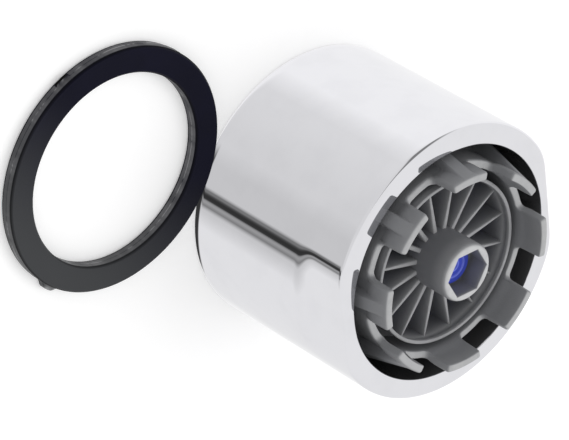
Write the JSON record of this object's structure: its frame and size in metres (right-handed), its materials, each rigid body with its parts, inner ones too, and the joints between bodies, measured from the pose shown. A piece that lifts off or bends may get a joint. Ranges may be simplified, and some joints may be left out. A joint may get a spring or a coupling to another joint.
{
  "type": "tap aerator",
  "caption": "Tap aerator: chromed sleeve with a female inlet thread, a finned plastic outlet insert with a castellated crown, and a loose flat sealing washer.",
  "frame": {"origin": "centre of the inlet end, on the axis, in the plane that the aerator stands on", "axes": "+Z along the axis, out of the outlet; +X is the side that faces the viewer of the picture"},
  "size_m": [0.044, 0.0294, 0.0195],
  "materials": {
    "sleeve_chrome": "polished chrome plate on brass",
    "insert_grey": "satin grey moulding",
    "former_grey": "satin dark grey moulding",
    "splitter_blue": "satin blue moulding",
    "regulator_white": "satin white moulding",
    "o_ring_rubber": "matt black",
    "strainer_grey": "satin grey moulding",
    "washer_rubber": "matt black"
  },
  "bodies": {
    "root": {"housing_sleeve": "sleeve_chrome", "insert_body": "insert_grey", "jet_former": "former_grey", "jet_splitter": "splitter_blue", "flow_regulator": "regulator_white", "regulator_o_ring": "o_ring_rubber", "inlet_strainer": "strainer_grey", "sealing_washer": "washer_rubber"}
  },
  "joints": []
}
